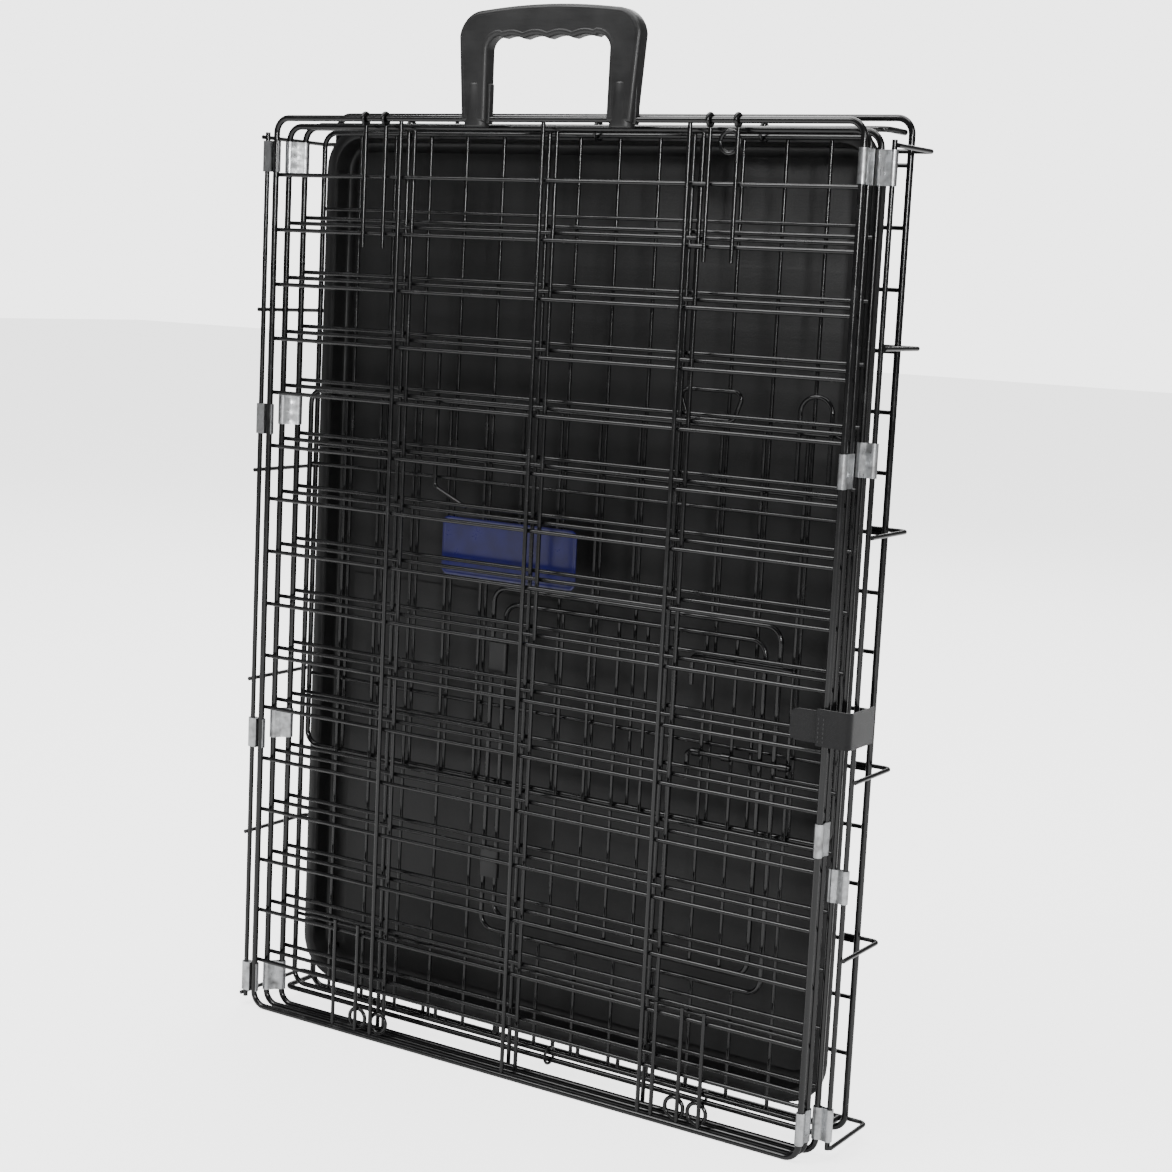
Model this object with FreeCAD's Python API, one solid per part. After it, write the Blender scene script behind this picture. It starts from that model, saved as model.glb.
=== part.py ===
"""Folding wire crate, folded flat and standing on a short end. Lengths are in millimetres.

X runs across the panels, Y runs from the front of the folded stack to the floor panel at its back,
and Z runs up the long edges. The origin is at the middle of the bottom of the folded stack.
"""
import FreeCAD
import Part
import math
import os

Vector = FreeCAD.Vector

# Long panels
panel_length = 762.0
floor_half_width = 264.0
inner_panel_shortfall = 6.0
floor_overhang = 8.0
side_a_left_overhang = 4.0
side_a_right_inset = 2.0
roof_left_inset = 1.0
side_b_left_inset = 10.0
side_b_right_overhang = 2.0
frame_radius = 2.5
grid_radius = 1.7
corner_radius = 12.0
weld_depth = 0.05
cross_count = 16
roof_stagger = 6.0
side_b_stagger = 11.0
floor_stagger = 20.0
long_wire_places = (-141.0, -6.0, 122.0)
roof_wire_shift = 6.0
side_b_wire_shift = -7.0

# Steps in depth from one layer of the folded stack to the next
side_a_depth = -37.2
side_a_to_roof = 10.5
roof_to_side_b = 9.5
side_b_to_front_end = 13.6
front_end_to_rear_end = 8.0
rear_end_to_pan = 8.4
pan_height = 21.0
pan_to_floor = 4.0

# Hinge rails on the floor panel's stand-off wires
rail_radius = 2.0
left_rail_gap = 9.5
right_rail_gap = 10.0
rail_bottom = 8.0
rail_top_inset = 14.0
lowest_stand_off = 10.5
stand_off_top_inset = 18.0
stand_off_wires_above = (2, 5, 9, 12)
stand_off_overlap = 14.0
stand_off_bend = 5.0

# Sheet-metal hinge clips
clip_length = 25.0
clip_wall = 1.0
clip_running_clearance = 0.08
clip_gaps = (0, 5, 11, 16)
right_rail_clip_gaps = (0, 4, 11, 16)
clip_end_gap = 0.4
clip_below_first_cross = 0.8
clip_above_last_cross = 0.4
open_clip_clearance = 0.4

# End panels, which hinge on rods across the short ends
end_side_gap = 13.0
end_height = 520.0
end_frame_radius = 2.2
end_wire_radius = 1.5
end_wire_count = 13
end_cross_shares = (0.12, 0.5, 0.88)
end_rod_radius = 2.2
end_rod_gap = 6.0
end_rod_inset = 4.6
end_rod_bend = 6.0
top_rod_inset = 5.0
low_rod_height = 12.0
ring_wire_radius = 1.2
ring_clearance = 0.2
ring_gaps = (-4.5, 0.5, 4.5)

# Door in the lower end panel
door_half_width = 118.0
door_bottom = 120.0
door_top = 380.0
door_wire_count = 8
door_frame_radius = 2.0
door_gap = 12.0
door_side_margin = 46.0
door_hinge_heights = (165.0, 335.0)
bolt_radius = 2.0
bolt_clearance = 0.08
bolt_front_gap = 0.3
bolt_handle_reach = 22.0
bolt_handle_gap = 2.5
bolt_tip_reach = 2.0
bolt_bend = 4.0
bolt_heights = (288.0, 362.0)
eye_wall = 1.0
eye_length = 7.0

# Finger loop and hook loop on the lower end panel
loop_radius = 1.7
finger_loop_x = 134.0
finger_loop_base = 20.0
finger_loop_top = 28.0
finger_loop_height = 22.0
finger_loop_bend = 6.0
hook_loop_inset = 14.0
hook_loop_width = 26.0
hook_loop_above = 27.0
hook_loop_below = 38.0
hook_loop_bend = 12.5
latch_rod_x = -116.0
latch_rod_foot = 32.0
latch_rod_above = 43.0
latch_rod_below = 70.0
latch_rod_drop = 14.0
latch_rod_bend = 5.0

# Pan
pan_side_gap = 8.0
pan_bottom = 22.0
pan_top_gap = 4.0
pan_corner_radius = 30.0
pan_wall = 2.2
pan_rim_width = 5.0
pan_stop_places = (-124.0, -62.0, 22.0, 61.0)
pan_stop_gap = 0.3
pan_stop_reach = 14.5
pan_stop_bend = 4.0

# Carry handle on the front panel's top rail
handle_centre = -1.5
handle_width = 166.0
handle_height = 84.5
handle_thickness = 14.0
handle_leg_width = 22.0
handle_leg_flare = 4.5
handle_grip_height = 22.5
handle_taper = 5.0
handle_foot = 7.0
handle_outer_bend = 20.0
handle_inner_bend = 10.0
handle_bore_clearance = 0.08
handle_snap = 0.5
scallop_radius = 18.0
scallop_count = 4

# Strap, label and hook wires
strap_gap_index = 6
strap_wire_gap = 5.5
strap_width = 26.0
strap_thickness = 1.4
strap_side_gap = 0.5
strap_loop_clearance = 0.1
strap_tongue_reach = 27.0
strap_fold_gap = 0.4
strap_tip_flat = 1.0
label_width = 130.0
label_height = 48.0
label_thickness = 1.0
label_seat_depth = 0.02
label_corner_radius = 6.0
label_centre_x = -45.0
label_centre_z = 421.0
hook_wire_radius = 1.6
bottom_hook_past_wire = 9.2
top_hook_past_wire = 11.35
top_hook_places = (-176.0, -156.0, 139.0, 162.0)
bottom_hook_places = (-181.0, -157.0, 134.0, 157.0, 176.0)
curl_radius = 8.0
curl_rail_gap = 3.4
top_curl_places = (154.0,)
bottom_curl_places = (-157.0, -135.0, 152.5, 172.5)

# Places that follow from the sizes above
inner_panel_length = panel_length - inner_panel_shortfall
floor_length = panel_length + floor_overhang
clip_end_reach = frame_radius + corner_radius + clip_length
first_cross_height = clip_end_reach + clip_below_first_cross + grid_radius
last_cross_gap = inner_panel_shortfall + clip_end_gap + clip_end_reach + clip_above_last_cross + grid_radius
cross_pitch = (panel_length - first_cross_height - last_cross_gap) / (cross_count - 1)
side_a_left = -floor_half_width - side_a_left_overhang
side_a_right = floor_half_width - side_a_right_inset
roof_left = -floor_half_width + roof_left_inset
roof_right = side_a_right
side_b_left = -floor_half_width + side_b_left_inset
side_b_right = floor_half_width + side_b_right_overhang
left_rail_x = side_a_left - left_rail_gap
right_rail_x = side_b_right + right_rail_gap
rail_top = panel_length - rail_top_inset
highest_stand_off = panel_length - stand_off_top_inset
roof_depth = side_a_depth + side_a_to_roof
side_b_depth = roof_depth + roof_to_side_b
front_end_depth = side_b_depth + side_b_to_front_end
rear_end_depth = front_end_depth + front_end_to_rear_end
pan_front_depth = rear_end_depth + rear_end_to_pan
pan_back_depth = pan_front_depth + pan_height
floor_depth = pan_back_depth + pan_to_floor
end_half_width = floor_half_width - end_side_gap
end_wire_spacing = 2.0 * end_half_width / (end_wire_count + 1)
pan_half_width = floor_half_width - pan_side_gap
pan_top = panel_length - pan_top_gap
UP = Vector(0.0, 0.0, 1.0)
ALONG_X = Vector(1.0, 0.0, 0.0)
ALONG_Y = Vector(0.0, 1.0, 0.0)


def rod(start, end, radius):
    """A straight round wire from start to end."""
    line = end - start
    return Part.makeCylinder(radius, line.Length, start, line)


def rounded_path(points, bend):
    """A path of straight runs joined by tangent arcs of one radius."""
    count = len(points)
    edges = []
    cuts = {}
    for i in range(1, count - 1):
        before = (points[i - 1] - points[i]).normalize()
        after = (points[i + 1] - points[i]).normalize()
        half = before.getAngle(after) / 2.0
        reach = bend / math.tan(half)
        middle = points[i] + (before + after).normalize() * (bend / math.sin(half) - bend)
        cuts[i] = (points[i] + before * reach, middle, points[i] + after * reach)
    for i in range(count - 1):
        following = i + 1
        start = cuts[i][2] if i in cuts else points[i]
        end = cuts[following][0] if following in cuts else points[following]
        if (end - start).Length > 0.001:
            edges.append(Part.LineSegment(start, end).toShape())
        if following in cuts:
            edges.append(Part.Arc(*cuts[following]).toShape())
    return Part.Wire(edges)


def bent_wire(points, radius, bend):
    """A round wire swept along straight runs and tangent arcs."""
    path = rounded_path(points, bend)
    first = path.Edges[0]
    start = first.valueAt(first.FirstParameter)
    direction = first.tangentAt(first.FirstParameter)
    profile = Part.Wire([Part.makeCircle(radius, start, direction)])
    return path.makePipeShell([profile], True, False)


def block(low, high):
    """A box between two corners."""
    return Part.makeBox(high.x - low.x, high.y - low.y, high.z - low.z, low)


def rounded_block(low, high, radius):
    """A box whose four edges along Y are rounded."""
    solid = block(low, high)
    edges = [edge for edge in solid.Edges if abs(edge.tangentAt(edge.FirstParameter).y) > 0.99]
    return solid.makeFillet(radius, edges)


def cross_height(index, stagger=0.0):
    """Height of a cross wire, counted from the bottom."""
    return first_cross_height + stagger + cross_pitch * index


def gap_height(index, stagger=0.0):
    """Middle of the gap below a cross wire; the first and last ones lie beside the end rails."""
    if index == 0:
        return corner_radius + frame_radius + clip_length / 2.0
    if index == cross_count:
        return inner_panel_length - frame_radius - corner_radius - clip_end_gap - clip_length / 2.0
    return cross_height(index - 0.5, stagger)


def panel_frame(left, right, top, depth):
    """The closed edge frame of a long panel, standing on the ground."""
    low = frame_radius
    high = top - frame_radius
    corners = [Vector(left, depth, low), Vector(right, depth, low)]
    corners += [Vector(right, depth, high), Vector(left, depth, high)]
    # Start in the middle of a side so that the sweep closes on a straight run
    middle = Vector((left + right) / 2.0, depth, low)
    path_points = [middle] + corners[1:] + corners[:1]
    return closed_frame(path_points, frame_radius, corner_radius)


def closed_frame(points, radius, bend):
    """A closed rounded frame whose first point lies in the middle of a straight run."""
    path = rounded_path(points + [points[0]], bend)
    direction = (points[1] - points[0]).normalize()
    profile = Part.Wire([Part.makeCircle(radius, points[0], direction)])
    return path.makePipeShell([profile], True, False)


def panel_long_wires(places, top, depth):
    """Long inner wires, butted between the end rails in front of the cross wires."""
    low = 2.0 * frame_radius - weld_depth
    high = top - 2.0 * frame_radius + weld_depth
    depth_here = depth + frame_radius - grid_radius
    return [rod(Vector(x, depth_here, low), Vector(x, depth_here, high), grid_radius) for x in places]


def panel_cross_wires(left, right, depth, stagger, count=cross_count):
    """Cross wires welded on the back of the edge frame and the long wires."""
    depth_here = depth + frame_radius + grid_radius - weld_depth
    wires = []
    for index in range(count):
        height = cross_height(index, stagger)
        wires.append(rod(Vector(left, depth_here, height), Vector(right, depth_here, height), grid_radius))
    return wires


def hinge_clip(fixed, turning, height, fixed_radius, turning_radius):
    """A sheet-metal clip round two parallel upright wires; the second one turns in it."""
    reach = max(fixed_radius, turning_radius + clip_running_clearance) + clip_wall
    direction = (turning - fixed).normalize()
    across = Vector(-direction.y, direction.x, 0.0) * reach
    base = UP * (height - clip_length / 2.0)
    fixed_end = fixed - direction * reach
    turning_end = turning + direction * reach
    edges = [Part.LineSegment(fixed + across + base, turning + across + base).toShape()]
    edges.append(Part.Arc(turning + across + base, turning_end + base, turning - across + base).toShape())
    edges.append(Part.LineSegment(turning - across + base, fixed - across + base).toShape())
    edges.append(Part.Arc(fixed - across + base, fixed_end + base, fixed + across + base).toShape())
    body = Part.Face(Part.Wire(edges)).extrude(UP * clip_length)
    body = body.cut(Part.makeCylinder(fixed_radius, clip_length, fixed + base, UP))
    bore = turning_radius + clip_running_clearance
    return body.cut(Part.makeCylinder(bore, clip_length, turning + base, UP))


def clip_row(fixed, turning, stagger, fixed_radius=frame_radius, gaps=clip_gaps):
    """The four clips of one hinge line, in the gaps between cross wires."""
    heights = [gap_height(index, stagger) for index in gaps]
    return [hinge_clip(fixed, turning, height, fixed_radius, frame_radius) for height in heights]


def stand_off_wires(side, rail_x, rail_depth):
    """Wires that run out from behind the floor frame and forward to a hinge rail."""
    back = floor_depth + frame_radius + grid_radius - weld_depth
    outer = rail_x + side * (rail_radius + grid_radius - weld_depth)
    inner = side * (floor_half_width - stand_off_overlap)
    wires = []
    weld_height = 2.0 * grid_radius - weld_depth
    heights = [cross_height(index, floor_stagger) + weld_height for index in stand_off_wires_above]
    for height in [lowest_stand_off] + heights + [highest_stand_off]:
        points = [Vector(inner, back, height), Vector(outer, back, height)]
        points.append(Vector(outer, rail_depth - rail_radius, height))
        wires.append(bent_wire(points, grid_radius, stand_off_bend))
    return wires


def ring(centre, radius, wire_radius):
    """A closed wire ring that lies in a plane square to X."""
    return Part.makeTorus(radius, wire_radius, centre, ALONG_X)


def end_panel(hinge_height, direction, depth, opening=None):
    """Frame and wires of an end panel that lies flat, from its hinge edge to its free edge."""
    near = hinge_height + direction * end_rod_gap
    far = near + direction * end_height
    low = min(near, far)
    high = max(near, far)
    corners = [Vector(0.0, depth, low), Vector(end_half_width, depth, low)]
    corners += [Vector(end_half_width, depth, high), Vector(-end_half_width, depth, high)]
    corners.append(Vector(-end_half_width, depth, low))
    frame = closed_frame(corners, end_frame_radius, corner_radius)
    back = depth + end_frame_radius + end_wire_radius - weld_depth
    upright = []
    for index in range(end_wire_count):
        x = -end_half_width + end_wire_spacing * (index + 1)
        spans = [(low, high)]
        if opening and opening[0] < x < opening[1]:
            spans = [(low, opening[2]), (opening[3], high)]
        for start, end in spans:
            upright.append(rod(Vector(x, back, start), Vector(x, back, end), end_wire_radius))
    front = depth + end_frame_radius - end_wire_radius
    inset = end_half_width - end_frame_radius + weld_depth
    jamb = door_frame_radius - weld_depth
    across = []
    for share in end_cross_shares:
        height = low + share * (high - low)
        spans = [(-inset, inset)]
        if opening and opening[2] < height < opening[3]:
            spans = [(-inset, opening[0] - jamb), (opening[1] + jamb, inset)]
        for start, end in spans:
            across.append(rod(Vector(start, front, height), Vector(end, front, height), end_wire_radius))
    return frame, upright, across, near


def end_rod(height, depth):
    """Hinge rod across one short end, bent back at both sides to the floor frame."""
    reach = floor_half_width - end_rod_inset
    back = floor_depth - frame_radius + weld_depth
    points = [Vector(-reach, back, height), Vector(-reach, depth, height)]
    points += [Vector(reach, depth, height), Vector(reach, back, height)]
    return bent_wire(points, end_rod_radius, end_rod_bend)


def end_rings(rod_height, edge_height, depth):
    """Rings that tie an end panel's hinge edge to its rod."""
    middle = (rod_height + edge_height) / 2.0
    radius = abs(rod_height - edge_height) / 2.0 + end_rod_radius + ring_wire_radius + ring_clearance
    places = [end_wire_spacing * gap for gap in ring_gaps]
    return [ring(Vector(x, depth, middle), radius, ring_wire_radius) for x in places]


def write_node(name, solids):
    """Write one node's solids to its own file."""
    shape = Part.makeCompound(solids)
    shape.exportStep(os.path.join("parts", name + ".step"))


os.makedirs("parts", exist_ok=True)

# Front side panel
write_node("side_a_frame", [panel_frame(side_a_left, side_a_right, panel_length, side_a_depth)])
write_node("side_a_long_wires", panel_long_wires(long_wire_places, panel_length, side_a_depth))
write_node("side_a_cross_wires", panel_cross_wires(side_a_left, side_a_right, side_a_depth, 0.0))

# Roof panel, folded behind the front panel and hinged to it along the right edge
roof_places = [x + roof_wire_shift for x in long_wire_places]
write_node("roof_frame", [panel_frame(roof_left, roof_right, inner_panel_length, roof_depth)])
write_node("roof_long_wires", panel_long_wires(roof_places, inner_panel_length, roof_depth))
roof_cross = panel_cross_wires(roof_left, roof_right, roof_depth, roof_stagger, cross_count - 1)
write_node("roof_cross_wires", roof_cross)

# Rear side panel, folded behind the roof and hinged to it along the left edge
side_b_places = [x + side_b_wire_shift for x in long_wire_places]
write_node("side_b_frame", [panel_frame(side_b_left, side_b_right, inner_panel_length, side_b_depth)])
write_node("side_b_long_wires", panel_long_wires(side_b_places, inner_panel_length, side_b_depth))
side_b_cross = panel_cross_wires(side_b_left, side_b_right, side_b_depth, side_b_stagger, cross_count - 1)
write_node("side_b_cross_wires", side_b_cross)

# Floor panel at the back of the stack
write_node("floor_frame", [panel_frame(-floor_half_width, floor_half_width, floor_length, floor_depth)])
write_node("floor_long_wires", panel_long_wires(long_wire_places, floor_length, floor_depth))
floor_cross = panel_cross_wires(-floor_half_width, floor_half_width, floor_depth, floor_stagger)
write_node("floor_cross_wires", floor_cross)

# Hinge rails and their stand-off wires
left_rail_start = Vector(left_rail_x, side_a_depth, rail_bottom)
left_rail = rod(left_rail_start, Vector(left_rail_x, side_a_depth, rail_top), rail_radius)
right_rail_start = Vector(right_rail_x, side_b_depth, rail_bottom)
right_rail = rod(right_rail_start, Vector(right_rail_x, side_b_depth, rail_top), rail_radius)
write_node("left_hinge_rail", [left_rail])
write_node("right_hinge_rail", [right_rail])
write_node("left_stand_off_wires", stand_off_wires(-1.0, left_rail_x, side_a_depth))
write_node("right_stand_off_wires", stand_off_wires(1.0, right_rail_x, side_b_depth))

# Hinge clips, each fixed on one wire while the next panel's edge wire turns in it
rail_clips = clip_row(Vector(right_rail_x, side_b_depth, 0.0), Vector(side_b_right, side_b_depth, 0.0),
                      side_b_stagger, rail_radius, right_rail_clip_gaps)
write_node("floor_to_side_b_clips", rail_clips)
side_b_clips = clip_row(Vector(side_b_left, side_b_depth, 0.0), Vector(roof_left, roof_depth, 0.0),
                        (roof_stagger + side_b_stagger) / 2.0)
write_node("side_b_to_roof_clips", side_b_clips)
roof_edge = Vector(roof_right, roof_depth, 0.0)
roof_clips = clip_row(roof_edge, Vector(side_a_right, side_a_depth, 0.0), roof_stagger / 2.0)
write_node("roof_to_side_a_clips", roof_clips)

# Open clips on the left rail: the front panel's left edge wire leaves them to the front
left_clips = []
left_rail_place = Vector(left_rail_x, side_a_depth, 0.0)
side_a_edge = Vector(side_a_left, side_a_depth, 0.0)
for clip in clip_row(left_rail_place, side_a_edge, 0.0, fixed_radius=rail_radius):
    box = clip.BoundBox
    half_slot = frame_radius + open_clip_clearance
    slot_low = Vector(side_a_left - half_slot, side_a_depth - box.YLength, box.ZMin)
    slot = block(slot_low, Vector(side_a_left + half_slot, side_a_depth, box.ZMax))
    seat = Part.makeCylinder(half_slot, clip_length, Vector(side_a_left, side_a_depth, box.ZMin))
    left_clips.append(clip.cut(slot).cut(seat))
write_node("floor_to_side_a_clips", left_clips)

# Upper end panel, hinged on a rod at the top of the stack
top_rod_height = panel_length - top_rod_inset
write_node("upper_end_hinge_rod", [end_rod(top_rod_height, rear_end_depth)])
upper = end_panel(top_rod_height, -1.0, rear_end_depth)
write_node("upper_end_frame", [upper[0]])
write_node("upper_end_upright_wires", upper[1])
write_node("upper_end_cross_wires", upper[2])
write_node("upper_end_hinge_rings", end_rings(top_rod_height, upper[3], rear_end_depth))

# Lower end panel with the door opening, hinged on a rod at the bottom
door_centre = end_half_width - door_side_margin - door_gap - door_half_width
door_left = door_centre - door_half_width
door_right = door_centre + door_half_width
surround_left = door_left - door_gap
surround_right = door_right + door_gap
surround_low = door_bottom - door_gap
surround_high = door_top + door_gap
write_node("lower_end_hinge_rod", [end_rod(low_rod_height, front_end_depth)])
opening = (surround_left, surround_right, surround_low, surround_high)
lower = end_panel(low_rod_height, 1.0, front_end_depth, opening)
write_node("lower_end_frame", [lower[0]])
write_node("lower_end_upright_wires", lower[1])
write_node("lower_end_cross_wires", lower[2])
write_node("lower_end_hinge_rings", end_rings(low_rod_height, lower[3], front_end_depth))

# Door surround and door
upright_front = front_end_depth + end_frame_radius - weld_depth
door_depth = upright_front + weld_depth - door_frame_radius
surround_points = [Vector(door_centre, door_depth, surround_low)]
surround_points.append(Vector(surround_right, door_depth, surround_low))
surround_points += [Vector(surround_right, door_depth, surround_high)]
surround_points += [Vector(surround_left, door_depth, surround_high)]
surround_points += [Vector(surround_left, door_depth, surround_low)]
write_node("door_surround", [closed_frame(surround_points, door_frame_radius, corner_radius)])
door_points = [Vector(door_centre, door_depth, door_bottom), Vector(door_right, door_depth, door_bottom)]
door_points += [Vector(door_right, door_depth, door_top), Vector(door_left, door_depth, door_top)]
door_points += [Vector(door_left, door_depth, door_bottom)]
write_node("door_frame", [closed_frame(door_points, door_frame_radius, corner_radius)])
door_wire_depth = door_depth + door_frame_radius + end_wire_radius - weld_depth
door_spacing = 2.0 * door_half_width / (door_wire_count + 1)
door_wire_places = [door_left + door_spacing * (index + 1) for index in range(door_wire_count)]
door_wires = []
for x in door_wire_places:
    wire_top = Vector(x, door_wire_depth, door_top)
    door_wires.append(rod(Vector(x, door_wire_depth, door_bottom), wire_top, end_wire_radius))
write_node("door_upright_wires", door_wires)
door_hinges = []
for height in door_hinge_heights:
    jamb = Vector(surround_left, door_depth, 0.0)
    edge = Vector(door_left, door_depth, 0.0)
    door_hinges.append(hinge_clip(jamb, edge, height, door_frame_radius, door_frame_radius))
write_node("door_hinge_clips", door_hinges)

# Slide bolts, their guide eyes on the door and their keepers on the end panel
bolt_depth = door_depth - door_frame_radius - bolt_front_gap - bolt_radius
eye_bore = bolt_radius + bolt_clearance
eye_radius = eye_bore + eye_wall


def bolt_eye(x, height, wire_front):
    """A guide eye round a slide bolt, on a foot that reaches back to an upright wire."""
    start = Vector(x - eye_length / 2.0, bolt_depth, height)
    body = Part.makeCylinder(eye_radius, eye_length, start, ALONG_X)
    foot_high = Vector(x + eye_length / 2.0, wire_front + weld_depth, height + eye_wall)
    foot = block(Vector(x - eye_length / 2.0, bolt_depth, height - eye_wall), foot_high)
    return body.fuse(foot).cut(Part.makeCylinder(eye_bore, eye_length, start, ALONG_X))


door_wire_front = door_wire_depth - end_wire_radius
keeper_x = -end_half_width + end_wire_spacing * end_wire_count
bolt_left = door_wire_places[-2] - eye_length / 2.0 - bolt_radius - bolt_handle_gap
bolt_right = keeper_x + eye_length / 2.0 + bolt_tip_reach
guides = []
keepers = []
for height in bolt_heights:
    guides += [bolt_eye(x, height, door_wire_front) for x in door_wire_places[-2:]]
    keepers.append(bolt_eye(keeper_x, height, upright_front))
write_node("slide_bolt_guides", guides)
write_node("slide_bolt_keepers", keepers)
for name, height in zip(("lower_slide_bolt", "upper_slide_bolt"), bolt_heights):
    bolt_points = [Vector(bolt_left, bolt_depth, height - bolt_handle_reach)]
    bolt_points += [Vector(bolt_left, bolt_depth, height), Vector(bolt_right, bolt_depth, height)]
    write_node(name, [bent_wire(bolt_points, bolt_radius, bolt_bend)])

# Finger loop and hook loop on the lower end panel's free edge
free_edge = low_rod_height + end_rod_gap + end_height
loop_low = free_edge + end_frame_radius + loop_radius - weld_depth
loop_high = loop_low + finger_loop_height
finger_points = [Vector(finger_loop_x, front_end_depth, loop_low)]
finger_points.append(Vector(finger_loop_x + finger_loop_base, front_end_depth, loop_low))
finger_points.append(Vector(finger_loop_x + finger_loop_top, front_end_depth, loop_high))
finger_points.append(Vector(finger_loop_x - finger_loop_top, front_end_depth, loop_high))
finger_points.append(Vector(finger_loop_x - finger_loop_base, front_end_depth, loop_low))
write_node("finger_loop", [closed_frame(finger_points, loop_radius, finger_loop_bend)])
hook_loop_depth = front_end_depth - end_frame_radius - loop_radius + weld_depth
hook_loop_right = end_half_width - hook_loop_inset
hook_loop_left = hook_loop_right - hook_loop_width
hook_loop_top = free_edge + hook_loop_above
hook_loop_foot = free_edge - hook_loop_below
hook_points = [Vector(hook_loop_left, hook_loop_depth, hook_loop_foot)]
hook_points.append(Vector(hook_loop_left, hook_loop_depth, hook_loop_top))
hook_points.append(Vector(hook_loop_right, hook_loop_depth, hook_loop_top))
hook_points.append(Vector(hook_loop_right, hook_loop_depth, hook_loop_foot))
write_node("hook_loop", [bent_wire(hook_points, loop_radius, hook_loop_bend)])

# Latch rod across the lower end panel's free edge, bent to a foot
rod_knee = free_edge - latch_rod_below
rod_points = [Vector(latch_rod_x, hook_loop_depth, free_edge + latch_rod_above)]
rod_points.append(Vector(latch_rod_x, hook_loop_depth, rod_knee))
rod_points.append(Vector(latch_rod_x + latch_rod_foot, hook_loop_depth, rod_knee - latch_rod_drop))
write_node("latch_rod", [bent_wire(rod_points, loop_radius, latch_rod_bend)])

# Plain label plate on the lower end panel's upright wires
label_low = Vector(label_centre_x - label_width / 2.0, upright_front + label_seat_depth - label_thickness,
                   label_centre_z - label_height / 2.0)
label_high = label_low + Vector(label_width, label_thickness, label_height)
write_node("label_plate", [rounded_block(label_low, label_high, label_corner_radius)])

# Pan, open to the front, and the hooks that it stands on
wall_half = pan_half_width - pan_rim_width
outer_low = Vector(-wall_half, pan_front_depth, pan_bottom + pan_rim_width)
outer_high = Vector(wall_half, pan_back_depth, pan_top - pan_rim_width)
inner_low = outer_low + Vector(pan_wall, 0.0, pan_wall)
inner_high = outer_high - Vector(pan_wall, pan_wall, pan_wall)
rim_low = Vector(-pan_half_width, pan_front_depth, pan_bottom)
rim_high = Vector(pan_half_width, pan_front_depth + pan_wall, pan_top)
inner = rounded_block(inner_low, inner_high, pan_corner_radius - pan_wall)
rim = rounded_block(rim_low, rim_high, pan_corner_radius + pan_rim_width)
tray = rounded_block(outer_low, outer_high, pan_corner_radius)
write_node("pan", [tray.fuse(rim).cut(inner)])
stops = []
stop_depth = pan_back_depth - pan_stop_reach
stop_top = pan_bottom - hook_wire_radius - pan_stop_gap
stop_back = floor_depth - frame_radius - hook_wire_radius + weld_depth
for x in pan_stop_places:
    stop_points = [Vector(x, stop_back, frame_radius), Vector(x, stop_back, stop_top)]
    stop_points.append(Vector(x, stop_depth, stop_top))
    stops.append(bent_wire(stop_points, hook_wire_radius, pan_stop_bend))
write_node("pan_stop_hooks", stops)

# Carry handle, snapped over the front panel's top rail
rail_height = panel_length - frame_radius
handle_top = rail_height + handle_height
handle_bottom = rail_height
half_top = handle_width / 2.0
half_foot = half_top - handle_taper
foot_left = handle_centre - half_foot
foot_right = handle_centre + half_foot
top_left = handle_centre - half_top
top_right = handle_centre + half_top
outline = [Vector(foot_left, 0.0, handle_bottom), Vector(top_left, 0.0, handle_top)]
outline += [Vector(top_right, 0.0, handle_top), Vector(foot_right, 0.0, handle_bottom)]
inner_top = handle_top - handle_grip_height
inner_foot_left = foot_left + handle_leg_width
inner_foot_right = foot_right - handle_leg_width
grip_left = top_left + handle_leg_width + handle_leg_flare
grip_right = top_right - handle_leg_width - handle_leg_flare
inner_outline = [Vector(inner_foot_left, 0.0, handle_bottom), Vector(grip_left, 0.0, inner_top)]
inner_outline += [Vector(grip_right, 0.0, inner_top), Vector(inner_foot_right, 0.0, handle_bottom)]
outer_edges = rounded_path(outline, handle_outer_bend).Edges
inner_edges = rounded_path(inner_outline, handle_inner_bend).Edges
feet = [Part.LineSegment(outline[0], inner_outline[0]).toShape()]
feet.append(Part.LineSegment(inner_outline[3], outline[3]).toShape())
face = Part.Face(Part.Wire(Part.__sortEdges__(outer_edges + inner_edges + feet)))
handle = face.extrude(ALONG_Y * handle_thickness)
handle.translate(ALONG_Y * (side_a_depth - handle_thickness / 2.0))
for foot_start in (foot_left, inner_foot_right):
    foot_place = Vector(foot_start, side_a_depth, rail_height)
    handle = handle.fuse(Part.makeCylinder(handle_foot, handle_leg_width, foot_place, ALONG_X))
scallop_start = grip_left + handle_inner_bend
scallop_width = (grip_right - handle_inner_bend - scallop_start) / scallop_count
sink = math.sqrt(scallop_radius ** 2 - (scallop_width / 2.0) ** 2)
for index in range(scallop_count):
    x = scallop_start + scallop_width * (index + 0.5)
    scallop_place = Vector(x, side_a_depth - handle_thickness, inner_top - sink)
    handle = handle.cut(Part.makeCylinder(scallop_radius, 2.0 * handle_thickness, scallop_place, ALONG_Y))
bore = frame_radius + handle_bore_clearance
bore_start = Vector(top_left, side_a_depth, rail_height)
handle = handle.cut(Part.makeCylinder(bore, handle_width, bore_start, ALONG_X))
half_slot = frame_radius - handle_snap
slot_low = bore_start - Vector(0.0, half_slot, 2.0 * handle_foot)
handle_slot = block(slot_low, bore_start + Vector(handle_width, half_slot, 0.0))
write_node("carry_handle", [handle.cut(handle_slot)])

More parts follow.
